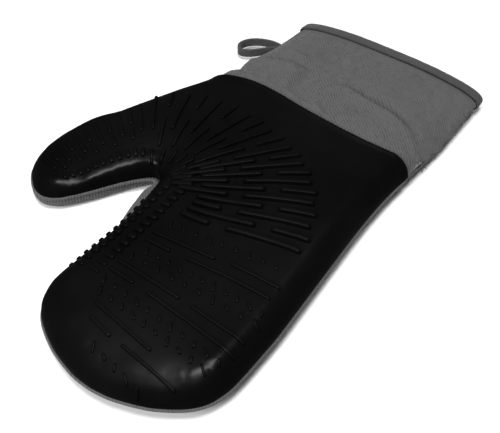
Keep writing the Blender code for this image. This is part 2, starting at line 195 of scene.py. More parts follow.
def line_distance(points, line):
    """How far each point is from an open line."""
    start = line[:-1]
    nearest = np.full(len(points), np.inf)
    for a, run in zip(start, line[1:] - start):
        reach = points - a
        t = np.clip(reach @ run / (run @ run), 0, 1)
        nearest = np.minimum(nearest, ((reach - t[:, None] * run) ** 2).sum(1))
    return np.sqrt(nearest)


def beside(points, line):
    """Each point's place along a line, from 0 to 1, its offset from it, and its direction."""
    offsets = points[:, None, :] - line[None]
    nearest = norm(offsets, axis=2).argmin(axis=1)
    run = np.gradient(line, axis=0)[nearest]
    return nearest / (len(line) - 1), offsets[np.arange(len(points)), nearest], run


def turn(a, b):
    """Positive where b points to the left of a, and negative to the right."""
    return a[:, 0] * b[:, 1] - a[:, 1] * b[:, 0]


def left_normals(runs):
    """Unit vectors to the left of each direction."""
    runs = runs / norm(runs, axis=1)[:, None]
    return np.stack([-runs[:, 1], runs[:, 0]], axis=1)


def inside(points, border):
    """Whether each point is inside a closed border."""
    x, y = points.T
    odd = np.zeros(len(points), bool)
    for (ax, ay), (bx, by) in zip(border, np.roll(border, -1, axis=0)):
        if ay == by:
            continue
        crosses = (ay > y) != (by > y)
        odd ^= crosses & (x < ax + (y - ay) / (by - ay) * (bx - ax))
    return odd


def ease(value, start, end):
    """0 up to the start, 1 from the end on, and a smooth step between them."""
    t = np.clip((value - start) / (end - start), 0, 1)
    return t * t * (3 - 2 * t)


def rim_y(x):
    """Where the silicone ends and the cuff shows: RIM_POINTS with their corners rounded."""
    xs, ys = np.array(RIM_POINTS, float).T
    fine = np.linspace(xs[0], xs[-1], 61)
    rough = np.interp(fine, xs, ys)
    kernel = np.hanning(13)[1:-1]
    padded = np.pad(rough, len(kernel) // 2, mode="edge")
    return np.interp(x, fine, np.convolve(padded, kernel / kernel.sum(), mode="valid"))


def cut_line(line, height):
    """The line's left part above height(x), its part below it and its right part above it."""
    above = line[:, 1] - height(line[:, 0])
    first = int(np.argmax(above < 0))
    last = len(line) - 1 - int(np.argmax(above[::-1] < 0))
    left, right = (line[i] + (line[i + 1] - line[i]) * (above[i] / (above[i] - above[i + 1]))
                   for i in (first - 1, last))
    return (np.vstack([line[:first], left]),
            np.vstack([left, line[first:last + 1], right]),
            np.vstack([right, line[last + 1:]]))


def across(start, end, height):
    """Points between start and end on the curve height(x), without its two ends."""
    count = max(2, int(round(abs(end[0] - start[0]) / SEAM_STEP)))
    xs = np.linspace(start[0], end[0], count + 1)[1:-1]
    return np.stack([xs, height(xs)], axis=1)


class Plan:
    """Points and triangles that fill a border, kept to a line that divides them and in rows
    along the silicone's rim, if there are any, and each point's distance from the seam."""

    def __init__(self, border, seam, grid, divide=None, rim=None):
        self.seam = seam
        edges = [(i, (i + 1) % len(border)) for i in range(len(border))]
        accepted = list(map(tuple, border))
        if divide is not None:
            a, b = (int(np.argmin(norm(border - p, axis=1))) for p in divide)
            inner = resample(np.array([border[a], border[b]]), SEAM_STEP)[1:-1]
            chain = [a, *range(len(accepted), len(accepted) + len(inner)), b]
            accepted += list(map(tuple, inner))
            edges += list(zip(chain, chain[1:]))
        normals = left_normals(np.gradient(seam, axis=0))
        for inset, gap in zip(SEAM_ROWS, np.diff(SEAM_ROWS, prepend=0)):
            row = seam + normals * inset
            row = row[inside(row, border)]
            row = row[line_distance(row, seam) > inset * 0.93]
            accepted = add_clear(accepted, row, gap * ROW_CLEAR, True)
        for offset, gap in zip(RIM_ROWS, np.diff(RIM_ROWS, prepend=0)) if rim else ():
            row = across(*rim, rim_y) - (0, offset)
            accepted = add_clear(accepted, row[inside(row, border)], gap * ROW_CLEAR, True)
        xs = np.arange(border[:, 0].min(), border[:, 0].max(), grid)
        ys = np.arange(border[:, 1].min(), border[:, 1].max(), grid * math.sqrt(3) / 2)
        lattice = np.array([(x + grid / 2 * (j % 2), y) for j, y in enumerate(ys) for x in xs])
        lattice = lattice[inside(lattice, border)]
        accepted = add_clear(accepted, lattice, grid * GRID_CLEAR, False)
        verts, _, faces, _, _, _ = delaunay_2d_cdt(
            [Vector(p) for p in accepted], edges, [list(range(len(border)))], 1, 1e-5)
        self.xy = np.array([v[:] for v in verts])
        self.tris = np.array([f for f in faces if len(f) == 3])
        a, b, c = (self.xy[self.tris[:, i]] for i in range(3))
        turned = turn(b - a, c - a) < 0
        self.tris[turned] = self.tris[turned][:, ::-1]
        self.inset = line_distance(self.xy, seam)


def tri_edges(tris):
    """The three edges of each triangle."""
    return np.vstack([tris[:, [0, 1]], tris[:, [1, 2]], tris[:, [2, 0]]])


def add_clear(accepted, candidates, gap, in_turn):
    """The accepted points and the candidates that keep the gap from them; taken in turn, they
    also keep clear of their row's nearest others."""
    tree = KDTree(len(accepted))
    for i, (x, y) in enumerate(accepted):
        tree.insert((x, y, 0), i)
    tree.balance()
    clear = [tuple(p) for p in candidates if tree.find((p[0], p[1], 0))[2] > gap]
    if in_turn:
        kept = []
        for p in clear:
            if all(math.dist(p, q) >= SEAM_STEP * 0.6 for q in kept[-6:] + kept[:6]):
                kept.append(p)
        clear = kept
    return accepted + clear


# ---- heights ----

def shoulder(t):
    """A quarter circle's rise from 0 to 1."""
    return np.sqrt(1 - (1 - np.clip(t, 0, 1)) ** 2)


def at_station(y, stations):
    """The value at y, between the stations' own."""
    return np.interp(y, list(stations), list(stations.values()))


def on_thumb(points):
    """How far each point is beyond the thumb's fold line, towards its tip."""
    return (points - CROTCH) @ THUMB_HEADING


def palm_height(xy, inset):
    """Height of the palm side's outer surface: rolled at its edge, tighter along the fingers'
    outer side, and domed at their tips."""
    x, y = xy.T
    roll = at_station(y, ROLLS)
    tighter = ease(x, 0, 50) * ease(y, WRIST_Y + 20, WRIST_Y - 20)
    rise = shoulder(inset / (roll + (np.minimum(roll, SIDE_ROLL) - roll) * tighter))
    domed = 0.42 * shoulder(inset / 5) + 0.58 * shoulder(inset / 36)
    rise = rise + (domed - rise) * ease(y, -125, -155)
    return SEAM_Z + (at_station(y, TOPS) - SEAM_Z) * rise


def back_height(xy, inset):
    """Height of the back's outer surface: flat on the floor inside its edge, which is upright
    round the thumb and slopes inwards along the fingers and the hand."""
    x, y = xy.T
    floor = np.maximum(y - LIFT_Y, 0) * LIFT_SLOPE
    upright = shoulder(inset / np.interp(y, (0, 60), (4, BACK_ROLL)))
    sloping = 1 - (1 - np.clip(inset / BACK_SLOPE, 0, 1)) ** 1.3
    thumb = ease(on_thumb(xy), -12, 0) * (x < CROTCH[0] + 6)
    fall = sloping + (upright - sloping) * np.maximum(thumb, ease(y, 60, 80))
    return SEAM_Z - (SEAM_Z - floor) * fall


def waves(xy, size, seed):
    """A smooth random height from -1 to 1, with lumps of about the given size."""
    return np.array([noise.noise(Vector((x / size, y / size, seed))) for x, y in xy])


def relax(z, tris, weight, rounds):
    """Heights evened out towards their neighbours' mean, where weight lets them."""
    a, b = np.unique(np.sort(tri_edges(tris), axis=1), axis=0).T
    degree = np.bincount(a, minlength=len(z)) + np.bincount(b, minlength=len(z))
    for _ in range(rounds):
        total = np.bincount(a, z[b], len(z)) + np.bincount(b, z[a], len(z))
        z = z + weight * (total / degree - z)
    return z


def raise_ridge(plan, z):
    """Heights with the crest on the thumb's inner side and the steep wall below it, and how
    firmly they are to be held there."""
    ridge = smooth_line(RIDGE_POINTS, 1.0, 8)
    place, offset, run = beside(plan.xy, ridge)
    away = line_distance(plan.xy, ridge)
    outer = turn(run, offset) < 0
    top = np.interp(place, np.linspace(0, 1, len(RIDGE_TOPS)), RIDGE_TOPS)
    wall = SEAM_Z + (top - SEAM_Z) * shoulder(plan.inset / (plan.inset + away + 0.01))
    face = np.minimum(z, top + 1.4 * (1 - np.exp(-away / 3.5)) + 0.09 * away)
    fade = ease(place, 0, 0.25) * ease(place, 1, 0.9)
    on_wall = outer & (plan.inset < 12) & (away < 14)
    reach = 22 + 50 * ease(place, 0.8, 0.5)
    share = fade * np.where(on_wall, 1.0, ease(away, reach, reach - 12) * ~outer)
    held = fade * np.where(on_wall, 1.0, ease(away, 4, 1.5) * ~outer)
    return z + share * (np.where(on_wall, wall, face) - z), held


def rim_bead(xy):
    """The bead along the silicone's rim: its rounded lip, then a low swell."""
    away = np.maximum(rim_y(xy[:, 0]) - xy[:, 1], 0)
    return np.interp(away, (0, *RIM_ROWS), RIM_BEAD)


def silicone_height(plan):
    """Height of the silicone: the palm's pillow, thinner towards the thumb's tip and evened
    out, with its crest, its bead and a slight unevenness."""
    xy = plan.xy
    inset = plan.inset
    beyond = on_thumb(xy)
    thumb = ease(beyond, 0, 30) * ease(xy[:, 0], -65, -85)
    z = palm_height(xy, inset * (1 + 0.9 * thumb))
    thin = np.interp(beyond, (0, 30, 75), (1, 0.85, 0.55))
    z = SEAM_Z + (z - SEAM_Z) * (1 + (thin - 1) * thumb)
    z, held = raise_ridge(plan, z)
    rolled = 13 - 4 * thumb
    z = relax(z, plan.tris, 0.9 * ease(inset, rolled, rolled + 7) * (1 - held), 60)
    swell = waves(xy, 45, 3.1) * 0.9 + waves(xy, 17, 8.2) * 0.2
    z = z + swell * ease(inset, 0, 16) * (1 - held) * (1 - 0.6 * thumb)
    lumps = waves(xy, 12, 5.5) * ease(inset, 0, 3) * ease(inset, 22, 14)
    z = z + 0.35 * lumps * ease(xy[:, 1], -130, -160)
    return z + rim_bead(xy) + 0.5 * ease(inset, 2, 0)


def fold_profile(s, sharp, soft, height):
    """Across a crease: a soft rise on one side of it and a sharp fall on the other."""
    rise = np.exp(-np.maximum(-s, 0) / soft)
    fall = 1 - 1.5 * ease(s, 0, sharp) * np.exp(-np.maximum(s - sharp, 0) / 14)
    return height * np.where(s < 0, rise, fall)


def crease(xy, points, sharp, soft, height, width):
    """A crease along a line, fading out at its ends and over a width beside it."""
    place, offset, run = beside(xy, resample(np.array(points, float), 1.5))
    beyond = np.abs((offset * run).sum(1)) / norm(run, axis=1)
    distance = norm(offset, axis=1)
    fade = ease(place, 0, 0.2) * ease(place, 1, 0.7) * np.exp(-(beyond / 6) ** 2)
    folded = fold_profile(np.sign(turn(run, offset)) * distance, sharp, soft, height)
    return folded * fade * np.exp(-(distance / width) ** 2)


CREASES = (   # points, width of its sharp side, of its soft side, height, reach
    (((-95, 101), (-86, 107), (-76, 111.5), (-63, 114), (-50, 117), (-34, 123)),
     4.0, 8.0, 4.6, 17.0),
    (((-72, 146), (-63, 156), (-57, 163), (-51, 170), (-42, 181)), 3.5, 6.0, 3.6, 11.0),
    (((-27, 150), (-20, 160), (-14, 170), (-6, 179)), 3.5, 5.0, 3.4, 9.0),
    (((14, 152), (22, 160), (36, 172)), 4.0, 7.0, 2.8, 10.0),
    (((-24, 104), (0, 115), (22, 112), (44, 108), (60, 101), (74, 87)), 6.0, 12.0, 4.2, 18.0),
    (((-74, 128), (-60, 134), (-40, 134)), 4.0, 7.0, 2.6, 11.0),
)


def cuff_top(plan):
    """Height of the cuff's palm side: it dips under the silicone's rim, and is creased."""
    x, y = plan.xy.T
    above_rim = y - rim_y(x)
    z = palm_height(plan.xy, plan.inset)
    z = relax(z, plan.tris, 0.9 * ease(plan.inset, 13, 21), 40)
    under = 1 - ease(above_rim, -1.5, 7.5)
    free = ease(y, MOUTH_Y - 10, MOUTH_Y - 24) * ease(plan.inset, 0, 9)
    folds = sum(crease(plan.xy, *c) for c in CREASES)
    lumps = waves(plan.xy, 30, 1.7) * 0.8 + waves(plan.xy, 12, 6.4) * 0.35
    bulge = 0.8 * np.exp(-((above_rim - 14) / 11) ** 2) * ease(x, -50, 10)
    return z - 0.5 - 1.5 * under + free * (1 - under) * (folds + lumps + bulge)


def cuff_bottom(plan):
    """Height of the cuff's back, which runs in over the back panel's inside at the wrist."""
    x, y = plan.xy.T
    tucked = (1 - ease(y - rim_y(x), 0, 6)) * ease(plan.inset, 0, 5)
    lumps = (waves(plan.xy, 28, 4.2) + 0.4) * 0.5 * ease(plan.inset, 6, 18)
    lumps = np.maximum(lumps, 0) * ease(y, MOUTH_Y - 10, MOUTH_Y - 24)
    return back_height(plan.xy, plan.inset) + 1.2 * tucked + lumps


# ---- meshes ----

def add_object(name, data):
    obj = bpy.data.objects.new(name, data)
    scene.collection.objects.link(obj)
    return obj


def vertex_normals(points, tris):
    """Unit normals, each the mean of the faces round a point, weighted by their area."""
    a, b, c = (points[tris[:, i]] for i in range(3))
    facing = np.cross(b - a, c - a)
    normals = np.zeros_like(points)
    for i in range(3):
        np.add.at(normals, tris[:, i], facing)
    return normals / np.maximum(norm(normals, axis=1), 1e-9)[:, None]


def add_piece(name, verts, faces, material, slot):
    """A smooth-shaded object made from points in millimetres."""
    mesh = bpy.data.meshes.new(name)
    mesh.from_pydata((np.asarray(verts) * MM).tolist(), [], faces)
    mesh.polygons.foreach_set("use_smooth", np.ones(len(mesh.polygons), bool))
    mesh.materials.append(material)
    obj = add_object(name, mesh)
    return obj


def compact(points, tris):
    """The points that the triangles use, the triangles among them, and which they were."""
    used, inverse = np.unique(tris, return_inverse=True)
    return points[used], inverse.reshape(-1, 3), used


def add_shell(name, points, normals, tris, thickness, material, slot):
    """A closed sheet: the triangles, a copy of them inwards by the thickness, and their rim."""
    outer, tris, used = compact(points, tris)
    facing = normals[used]
    inner = outer - facing * thickness
    count = len(used)
    directed = tri_edges(tris).tolist()
    known = set(map(tuple, directed))
    walls = [(b, a, a + count, b + count) for a, b in directed if (b, a) not in known]
    faces = tris.tolist() + (tris[:, ::-1] + count).tolist() + walls
    obj = add_piece(name, np.vstack([outer, inner]), faces, material, slot)
    mesh = obj.data
    loop_verts = np.zeros(len(mesh.loops), int)
    mesh.loops.foreach_get("vertex_index", loop_verts)
    custom = np.vstack([facing, -facing])[loop_verts]
    for wall in mesh.polygons[2 * len(tris):]:
        for loop in wall.loop_indices:
            custom[loop] = wall.normal
    mesh.normals_split_custom_set(custom.tolist())
    return obj


def ring_faces(count, around):
    """The faces between rings of points, each ring joined to the next."""
    faces = []
    for i in range(count - 1):
        for k in range(around):
            m = (k + 1) % around
            faces.append((i * around + k, (i + 1) * around + k,
                          (i + 1) * around + m, i * around + m))
    return faces


def sweep(path, normals, profile, scale=None):
    """Points and faces of a profile carried along a path, whose up is the path's normals."""
    path = np.asarray(path, float)
    heading = np.gradient(path, axis=0)
    heading /= norm(heading, axis=1)[:, None]
    side = np.cross(heading, normals)
    side /= norm(side, axis=1)[:, None]
    up = np.cross(side, heading)
    profile = np.asarray(profile, float)
    if scale is None:
        scale = np.ones((len(path), 2))
    rings = (path[:, None, :]
             + side[:, None, :] * (profile[None, :, 0] * scale[:, :1])[..., None]
             + up[:, None, :] * (profile[None, :, 1] * scale[:, 1:])[..., None])
    count, around = rings.shape[:2]
    first = tuple(range(around))
    last = tuple(range(count * around - 1, (count - 1) * around - 1, -1))
    return rings.reshape(-1, 3), ring_faces(count, around) + [first, last]


def sweep_level(path, profile, scale=None):
    """A sweep whose profile stays upright."""
    return sweep(path, np.tile(UP, (len(path), 1)), profile, scale)


def merged(parts):
    """Several parts' points and faces as one."""
    verts = []
    faces = []
    for part_verts, part_faces in parts:
        faces += [tuple(i + len(verts) for i in face) for face in part_faces]
        verts += list(part_verts)
    return verts, faces


def circle(radius, sides):
    angles = np.arange(sides) * 2 * math.pi / sides
    return np.stack([np.cos(angles), np.sin(angles)], axis=1) * radius


def rounded_bar(half_width, half_height, corner):
    """A rectangle with rounded corners, as a profile."""
    points = []
    for quarter, (right, up) in enumerate(((1, 1), (-1, 1), (-1, -1), (1, -1))):
        for step in range(4):
            angle = quarter * math.pi / 2 + step * math.pi / 6
            points.append((right * (half_width - corner) + corner * math.cos(angle),
                           up * (half_height - corner) + corner * math.sin(angle)))
    return points


# ---- materials ----

def feed(tree, socket, value):
    """Links a socket to another's output, or gives it a plain value."""
    if isinstance(value, bpy.types.NodeSocket):
        tree.links.new(value, socket)
    else:
        socket.default_value = value


def put(tree, kind, **inputs):
    """A new node with its values and its links; an input's spaces are underscores."""
    made = tree.nodes.new(kind)
    for key, value in inputs.items():
        feed(tree, made.inputs[key.replace("_", " ")], value)
    return made


def calculate(tree, operation, *values):
    """The result of a math node."""
    node = tree.nodes.new("ShaderNodeMath")
    node.operation = operation
    for socket, value in zip(node.inputs, values):
        feed(tree, socket, value)
    return node.outputs["Value"]


def speckle(tree, place, scale, detail=2.0):
    return put(tree, "ShaderNodeTexNoise", Vector=place, Scale=scale, Detail=detail).outputs["Fac"]


def bands(tree, direction, **inputs):
    node = put(tree, "ShaderNodeTexWave", **inputs)
    node.bands_direction = direction
    return node.outputs["Fac"]


def spread(tree, value, low, high):
    """A value from 0 to 1 spread from low to high."""
    return put(tree, "ShaderNodeMapRange", Value=value, To_Min=low, To_Max=high).outputs["Result"]


def ramp(tree, factor, low, high, start=0.0, end=1.0):
    """A colour ramp between two greys."""
    node = put(tree, "ShaderNodeValToRGB", Fac=factor)
    for element, position, grey in zip(node.color_ramp.elements, (start, end), (low, high)):
        element.position = position
        element.color = (grey, grey, grey, 1)
    return node.outputs["Color"]


def bumped(tree, height, strength, distance, **below):
    return put(tree, "ShaderNodeBump", Height=height, Strength=strength, Distance=distance,
               **below).outputs["Normal"]


def new_material(name, roughness, sheen=0.0, specular=0.5):
    """A material, its nodes, its shader's inputs and the place on the object."""
    material = bpy.data.materials.new(name)
    material.use_nodes = True
    tree = material.node_tree
    inputs = tree.nodes["Principled BSDF"].inputs
    inputs["Roughness"].default_value = roughness
    inputs["Specular IOR Level"].default_value = specular
    inputs["Sheen Weight"].default_value = sheen
    inputs["Sheen Roughness"].default_value = 0.4
    return material, tree, inputs, put(tree, "ShaderNodeTexCoord").outputs["Object"]


def silicone_material(name, shiniest, dullest, specular):
    """Black silicone: a fine moulded grain, and a faint bloom where it was handled."""
    material, tree, inputs, place = new_material(name, shiniest, specular=specular)
    bloom = speckle(tree, place, 22.0, 4.0)
    grain = speckle(tree, place, 1500.0)
    feed(tree, inputs["Base Color"], ramp(tree, bloom, 0.0016, 0.0032, 0.3, 0.75))
    feed(tree, inputs["Roughness"], spread(tree, bloom, shiniest, dullest))
    feed(tree, inputs["Normal"], bumped(tree, grain, 0.12, 0.0002))
    return material


def woven_material(name, darkest, lightest, period, slant, strength):
    """A twill: diagonal ribs at a period, crossed by finer yarns, and mottled dye."""
    material, tree, inputs, place = new_material(name, 0.92, 0.15, 0.2)
    slanted = put(tree, "ShaderNodeMapping", Vector=place,
                  Rotation=(0.25, 0.2, math.radians(slant))).outputs["Vector"]
    ribs = bands(tree, "X", Vector=slanted, Scale=BAND_SPACING / (period * MM),
                 Distortion=0.5, Detail=1.0, Detail_Scale=1.5)
    yarns = bands(tree, "Y", Vector=slanted, Scale=BAND_SPACING / (period * 0.42 * MM),
                  Distortion=0.8, Detail=1.0, Detail_Scale=2.0)
    mottle = speckle(tree, place, 260.0, 5.0)
    weave = calculate(tree, "MULTIPLY", ribs, spread(tree, yarns, 0.72, 1.0))
    mixed = calculate(tree, "MULTIPLY_ADD", mottle, 1.1, weave)
    dyed = calculate(tree, "MULTIPLY_ADD", speckle(tree, place, 28.0, 3.0), 0.5, mixed)
    feed(tree, inputs["Base Color"], ramp(tree, dyed, darkest, lightest, 0.55, 1.75))
    woven = bumped(tree, weave, strength, 0.0004)
    feed(tree, inputs["Normal"], bumped(tree, mottle, 0.35, 0.0003, Normal=woven))
    return material


def thread_material():
    """Sewing thread, with the slant of its twist."""
    material, tree, inputs, place = new_material("thread", 0.7, 0.2, 0.3)
    twist = bands(tree, "DIAGONAL", Vector=place, Scale=500.0, Distortion=0.3)
    feed(tree, inputs["Base Color"], ramp(tree, twist, 0.035, 0.075))
    feed(tree, inputs["Normal"], bumped(tree, twist, 0.5, 0.0001))
    return material


# ---- ribs: where they run, in plan ----

FAN_CENTRE = np.array([-55.0, -48.0])
RAYS = 21
# Across the fingers: long thin lines in three groups, in a brick pattern.
FINGER_LINES = (
    ((-22, -81.3), (24.5, -75.6)), ((34, -72.6), (69, -69.6)),
    ((-22, -88.5), (-2, -86.8)), ((9, -85.4), (38, -81.6), (69, -79.4)),
    ((-23, -111.2), (25.5, -110.6)), ((34, -110.6), (74, -111.8)),
    ((-24, -118.6), (-3.5, -118.7)), ((7, -118.8), (40, -119.8), (75, -122.2)),
    ((-13, -141.6), (35, -146.6)), ((44, -147.8), (72, -151.6)),
    ((-9, -150.2), (10, -153.2)), ((18.5, -153.3), (60.5, -156)),
)
# Rows of short slanted marks between those groups: first, last and how many.
TICK_ROWS = (((-16, -70), (58, -58), 9), ((-14, -95), (70, -90), 11),
             ((-19, -103), (72, -98), 10), ((-20, -126.5), (70, -130), 11),
             ((-16, -134), (66, -138.5), 10), ((6, -163), (52, -169), 6))
# Down the fingers' inner side: rows of short bars, in three columns.
BAR_ROWS = 14
BAR_PITCH = 6.65
THUMB_INNER = ((-73, -26.5), (-84, -35), (-92.5, -49), (-99, -63), (-107, -75))
THUMB_OUTER = ((-110, 17), (-121, -6), (-131, -31), (-137, -52), (-136, -72))
THUMB_ROWS = 12
THUMB_DASHES = ((0.0, 0.17), (0.3, 0.52), (0.6, 0.94)), ((0.0, 0.15), (0.42, 0.97))
# A rib's section, in shares of its half width and its height, down to the foot that sinks in.
RIB_PROFILE = ((-1.15, -0.2), (-1.0, 0.06), (-0.95, 0.6), (-0.84, 0.93), (-0.66, 1.0),
               (0.66, 1.0), (0.84, 0.93), (0.95, 0.6), (1.0, 0.06), (1.15, -0.2),
               (0.7, -0.8), (-0.7, -0.8))
RIB_STEP = 1.4


def point_at(points, share):
    """The point at a share of the way through a list of points."""
    places = np.linspace(0, 1, len(points))
    return np.array([np.interp(share, places, axis) for axis in np.array(points, float).T])


def ray(angle, share):
    """A point on one ray of the fan, which curves down where it nears the fingers."""
    reach = np.interp(angle, (0, 30, 60, 80, 130), (123, 114, 101, 96, 93))
    dip = 50 * max(0.0, 1 - angle / 50) ** 2 * (1 - share) ** 2
    heading = math.radians(angle - dip)
    return FAN_CENTRE + reach * share * np.array([math.cos(heading), math.sin(heading)])


def ray_dashes(number, angle):
    """Where one ray's dashes start and end, as shares of it: laid like bricks."""
    if number % 2:
        if angle < 20:
            return (0.32, 0.70), (0.78, 1.0)
        if angle < 60:
            return (0.14, 0.28), (0.32, 0.70), (0.78, 1.0)
        return (0.38, 0.66), (0.8, 1.0)
    if angle <= 20:
        return (0.32, 0.49), (0.57, 0.98)
    if angle < 60:
        return (0.19, 0.49), (0.57, 0.98)
    return (0.24, 0.36), (0.54, 0.98)


def fan_ribs():
    """The fan of dashes round the crotch: path, half width and height of each."""
    ribs = []
    for number in range(RAYS):
        angle = np.interp(number, (0, 10, 14, 20), (3.7, 53, 80, 128))
        strength = 0.55 + 0.45 * float(ease(angle, 75, 40))
        for start, end in ray_dashes(number, angle):
            path = [ray(angle, share) for share in np.linspace(start, end, 9)]
            ribs.append((path, 2.0 * strength, 2.9 * strength))
    return ribs


def finger_ribs():
    """The long lines across the fingers, and three columns of short bars down their inner side,
    which fade towards the tips."""
    ribs = [(line, 1.1, 1.4) for line in FINGER_LINES]
    for row in range(BAR_ROWS):
        y = -38.5 - BAR_PITCH * row
        rise = 1.4 * (1 - row / (BAR_ROWS - 1))
        fade = 1.0 - 0.5 * float(ease(row, 9, 13))
        ribs.append((((-34, y - rise), (-26, y + rise / 2)), 1.9 * fade, 2.3 * fade))
        y -= BAR_PITCH * 1.22
        if row < BAR_ROWS - 1:
            ribs.append((((-44.5, y), (-38, y + 0.4)), 1.8 * fade, 2.1 * fade))
        if 1 < row < BAR_ROWS - 1:
            ribs.append((((-51.2, y - 0.8), (-48, y - 0.5)), 1.5 * fade, 1.5 * fade))
    return ribs


def tick_ribs():
    """Rows of plain slanted marks, long and short by turns."""
    ribs = []
    for first, last, count in TICK_ROWS:
        for i in range(count):
            centre = point_at((first, last), i / (count - 1))
            half = 3.6 if i % 3 == 0 else 2.5
            lean = math.radians(-58 if i % 2 == 0 else -35)
            reach = half * np.array([math.cos(lean), math.sin(lean)])
            ribs.append(((centre - reach, centre + reach), 0.9, 1.1))
    return ribs


def thumb_ribs():
    """Rows of dashes across the thumb, laid like bricks; the fan stands for the first row."""
    ribs = []
    for row in range(1, THUMB_ROWS):
        inner = point_at(THUMB_INNER, row / (THUMB_ROWS - 1))
        outer = point_at(THUMB_OUTER, row / (THUMB_ROWS - 1))
        for start, end in THUMB_DASHES[row % 2]:
            path = [inner + (outer - inner) * share for share in (start, end)]
            strength = 0.7 if start < 0.1 else 0.55
            ribs.append((path, 2.1 * strength, 2.2 * strength))
    return ribs


def make_rib(path, half_width, height, surface):
    """A rounded bar that lies on the silicone and sinks its foot into it, unless its path
    leaves the silicone."""
    line = resample(np.array(path, float), RIB_STEP)
    length = lengths_along(line)[-1]
    ends = np.array([0.0, 0.25, 0.6, 1.1]) * half_width
    middle = np.arange(ends[-1] + 1.2, length - ends[-1] - 0.6, RIB_STEP)
    stations = np.concatenate([ends, middle, (length - ends)[::-1]])
    down = Vector((0, 0, -1))
    hits = [surface.ray_cast(Vector((x, y, 100)), down) for x, y in at_lengths(line, stations)]
    if any(point is None for point, _, _, _ in hits):
        return None
    points = [point[:] for point, _, _, _ in hits]
    normals = np.array([normal[:] for _, normal, _, _ in hits])
    blurred = normals.copy()
    blurred[1:-1] = normals[:-2] + normals[1:-1] + normals[2:]
    blurred /= norm(blurred, axis=1)[:, None]
    from_end = np.minimum(stations, length - stations) / (half_width * 1.1)
    round_off = shoulder(np.maximum(from_end, 0.04))
    scale = np.stack([half_width * (0.25 + 0.75 * round_off), height * round_off], axis=1)
    return sweep(points, blurred, RIB_PROFILE, scale)


# ---- pieces ----

def bend(obj):
    """Bakes a piece's transform into its mesh."""
    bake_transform(obj)


def add_hand_layer(plan, points, tris, keep, finish, main, tip):
    """A layer of the hand in two pieces that share the thumb's fold line. finish is its
    thickness, material and slot, and the slot is not used; main and tip are each a name and the
    nodes it replaces."""
    normals = vertex_normals(points, tris)
    middle = plan.xy[plan.tris].mean(axis=1)
    thumb = (on_thumb(middle) > 0) & (middle[:, 0] < CROTCH[0] + 6)
    for part, body, (name, *nodes) in ((~thumb, "fingers", main), (thumb, "thumb", tip)):
        piece = add_shell(name, points, normals, tris[part & keep], *finish)
        bend(piece)
        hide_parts(*nodes)


def add_silicone(plan):
    """The silicone palm. Returns its points."""
    black = silicone_material("black_silicone", 0.27, 0.35, 0.12)
    points = np.column_stack([plan.xy, silicone_height(plan)])
    add_hand_layer(plan, points, plan.tris, True, (SILICONE, black, "silicone"),
                   ("silicone_palm_shell", "silicone_palm", "silicone_fingers",
                    "palm_wadding_palm", "palm_wadding_fingers"),
                   ("silicone_thumb_shell", "silicone_thumb", "palm_wadding_thumb"))
    return points


def add_ribs(plan, points):
    """The raised ribs on the silicone: one piece on the palm and the fingers, one on the thumb."""
    dull = silicone_material("dull_silicone", 0.40, 0.50, 0.06)
    surface = BVHTree.FromPolygons(points.tolist(), plan.tris.tolist())
    palm = []
    thumb = []
    for path, half_width, height in fan_ribs() + finger_ribs() + tick_ribs() + thumb_ribs():
        rib = make_rib(path, half_width, height, surface)
        if rib is None:
            continue
        middle = np.array(path, float).mean(axis=0)
        (thumb if on_thumb(middle) > 0 and middle[0] < CROTCH[0] else palm).append(rib)
    bend(add_piece("palm_ribs", *merged(palm), dull, "silicone"))
    bend(add_piece("thumb_ribs", *merged(thumb), dull, "silicone"))


def thumb_swell(plan, z):
    """How far the back's fabric swells out below the thumb's seam, in plan."""
    _, _, run = beside(plan.xy, plan.seam)
    fall = np.clip((SEAM_Z - z) / SEAM_Z, 0, 1)
    thumb = ease(on_thumb(plan.xy), -4, 10) * (plan.xy[:, 0] < CROTCH[0])
    return -left_normals(run) * (THUMB_SWELL * np.sin(math.pi * fall) * thumb)[:, None]


def add_back(plan, twill):
    """The fabric back, puckered beside its seam."""
    z = back_height(plan.xy, plan.inset)
    pucker = waves(plan.xy, 7, 2.2) * 0.35 * np.exp(-((plan.inset - 4) / 4) ** 2)
    points = np.column_stack([plan.xy, np.maximum(z - 0.2 + pucker, 0.0)])
    points[:, :2] += thumb_swell(plan, z)
    add_hand_layer(plan, points, plan.tris[:, ::-1], True, (FABRIC, twill, "twill"),
                   ("back_panel", "back_panel_palm", "back_panel_fingers",
                    "back_wadding_palm", "back_wadding_fingers"),
                   ("thumb_back_panel", "back_panel_thumb", "back_wadding_thumb"))


def add_pouch_lining(plan, silicone_points, lining):
    """The lining of the hand's pocket: a sheet under the silicone and one over the back."""
    deep = plan.inset[plan.tris].min(axis=1) > POUCH_ROW - 0.3
    open_share = ease(plan.inset, POUCH_ROW, POUCH_ROW + 8)
    low = back_height(plan.xy, plan.inset)
    top = SEAM_Z + 0.6 + (silicone_points[:, 2] - 5.4 - SEAM_Z) * open_share
    bottom = SEAM_Z - 0.6 + (low + 5.0 - SEAM_Z) * open_share
    for side, z, tris in (("palm", top, plan.tris), ("back", bottom, plan.tris[:, ::-1])):
        name = side + "_lining"
        add_hand_layer(plan, np.column_stack([plan.xy, z]), tris, deep,
                       (LINING, lining, "lining"), (name, name + "_palm", name + "_fingers"),
                       ("thumb_" + name, name + "_thumb"))


